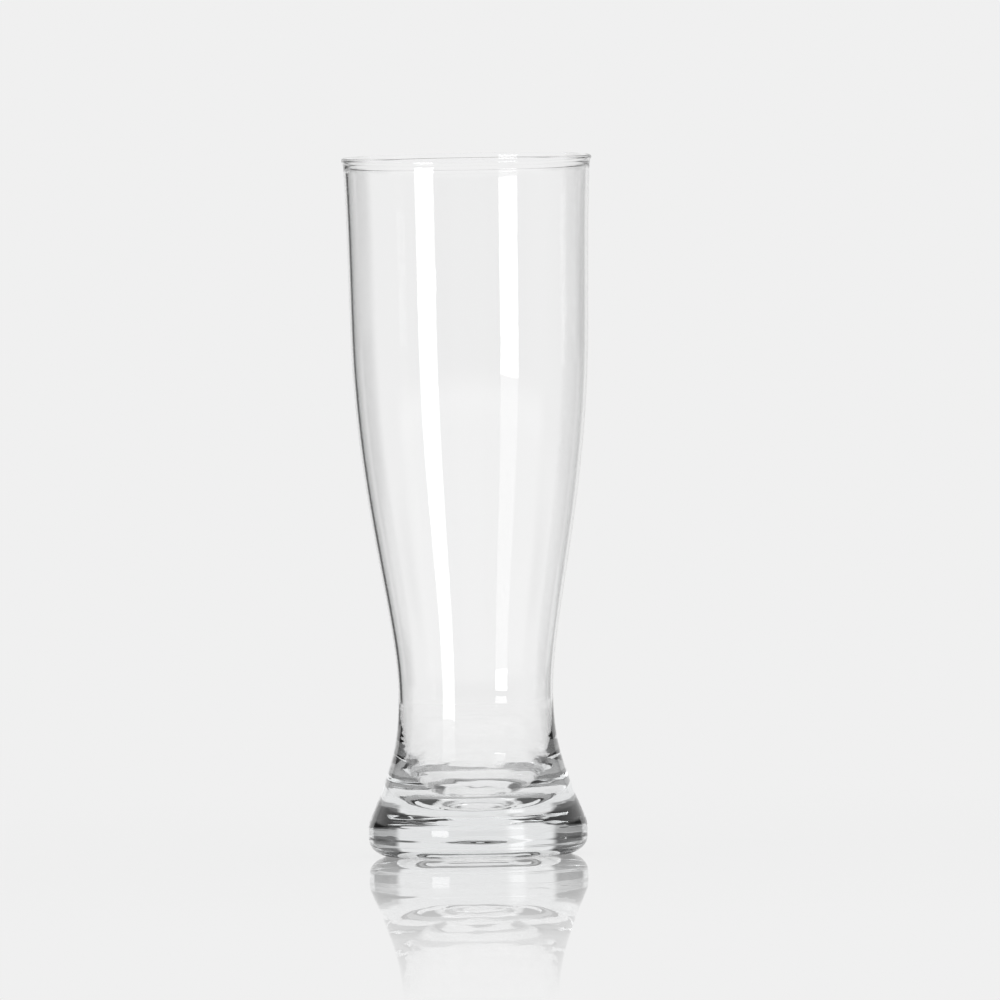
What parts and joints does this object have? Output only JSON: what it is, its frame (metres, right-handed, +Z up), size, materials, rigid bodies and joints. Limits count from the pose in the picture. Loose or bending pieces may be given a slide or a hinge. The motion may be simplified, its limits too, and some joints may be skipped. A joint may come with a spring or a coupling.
{
  "type": "pilsner glass",
  "caption": "Tall clear beer glass with a flared thin bowl, rounded rim, narrow waist, fine seam and a heavy sloping foot hollowed above and below.",
  "frame": {"origin": "on the table plane at the middle of the foot", "axes": "+Z up along the axis of the glass; the glass is round, so X and Y are free"},
  "size_m": [0.079, 0.079, 0.2205],
  "materials": {
    "bowl_glass": "clear, polished",
    "foot_glass": "clear, polished, with a finely worn ring underneath"
  },
  "bodies": {
    "root": {"bowl": "bowl_glass", "foot": "foot_glass"}
  },
  "joints": []
}
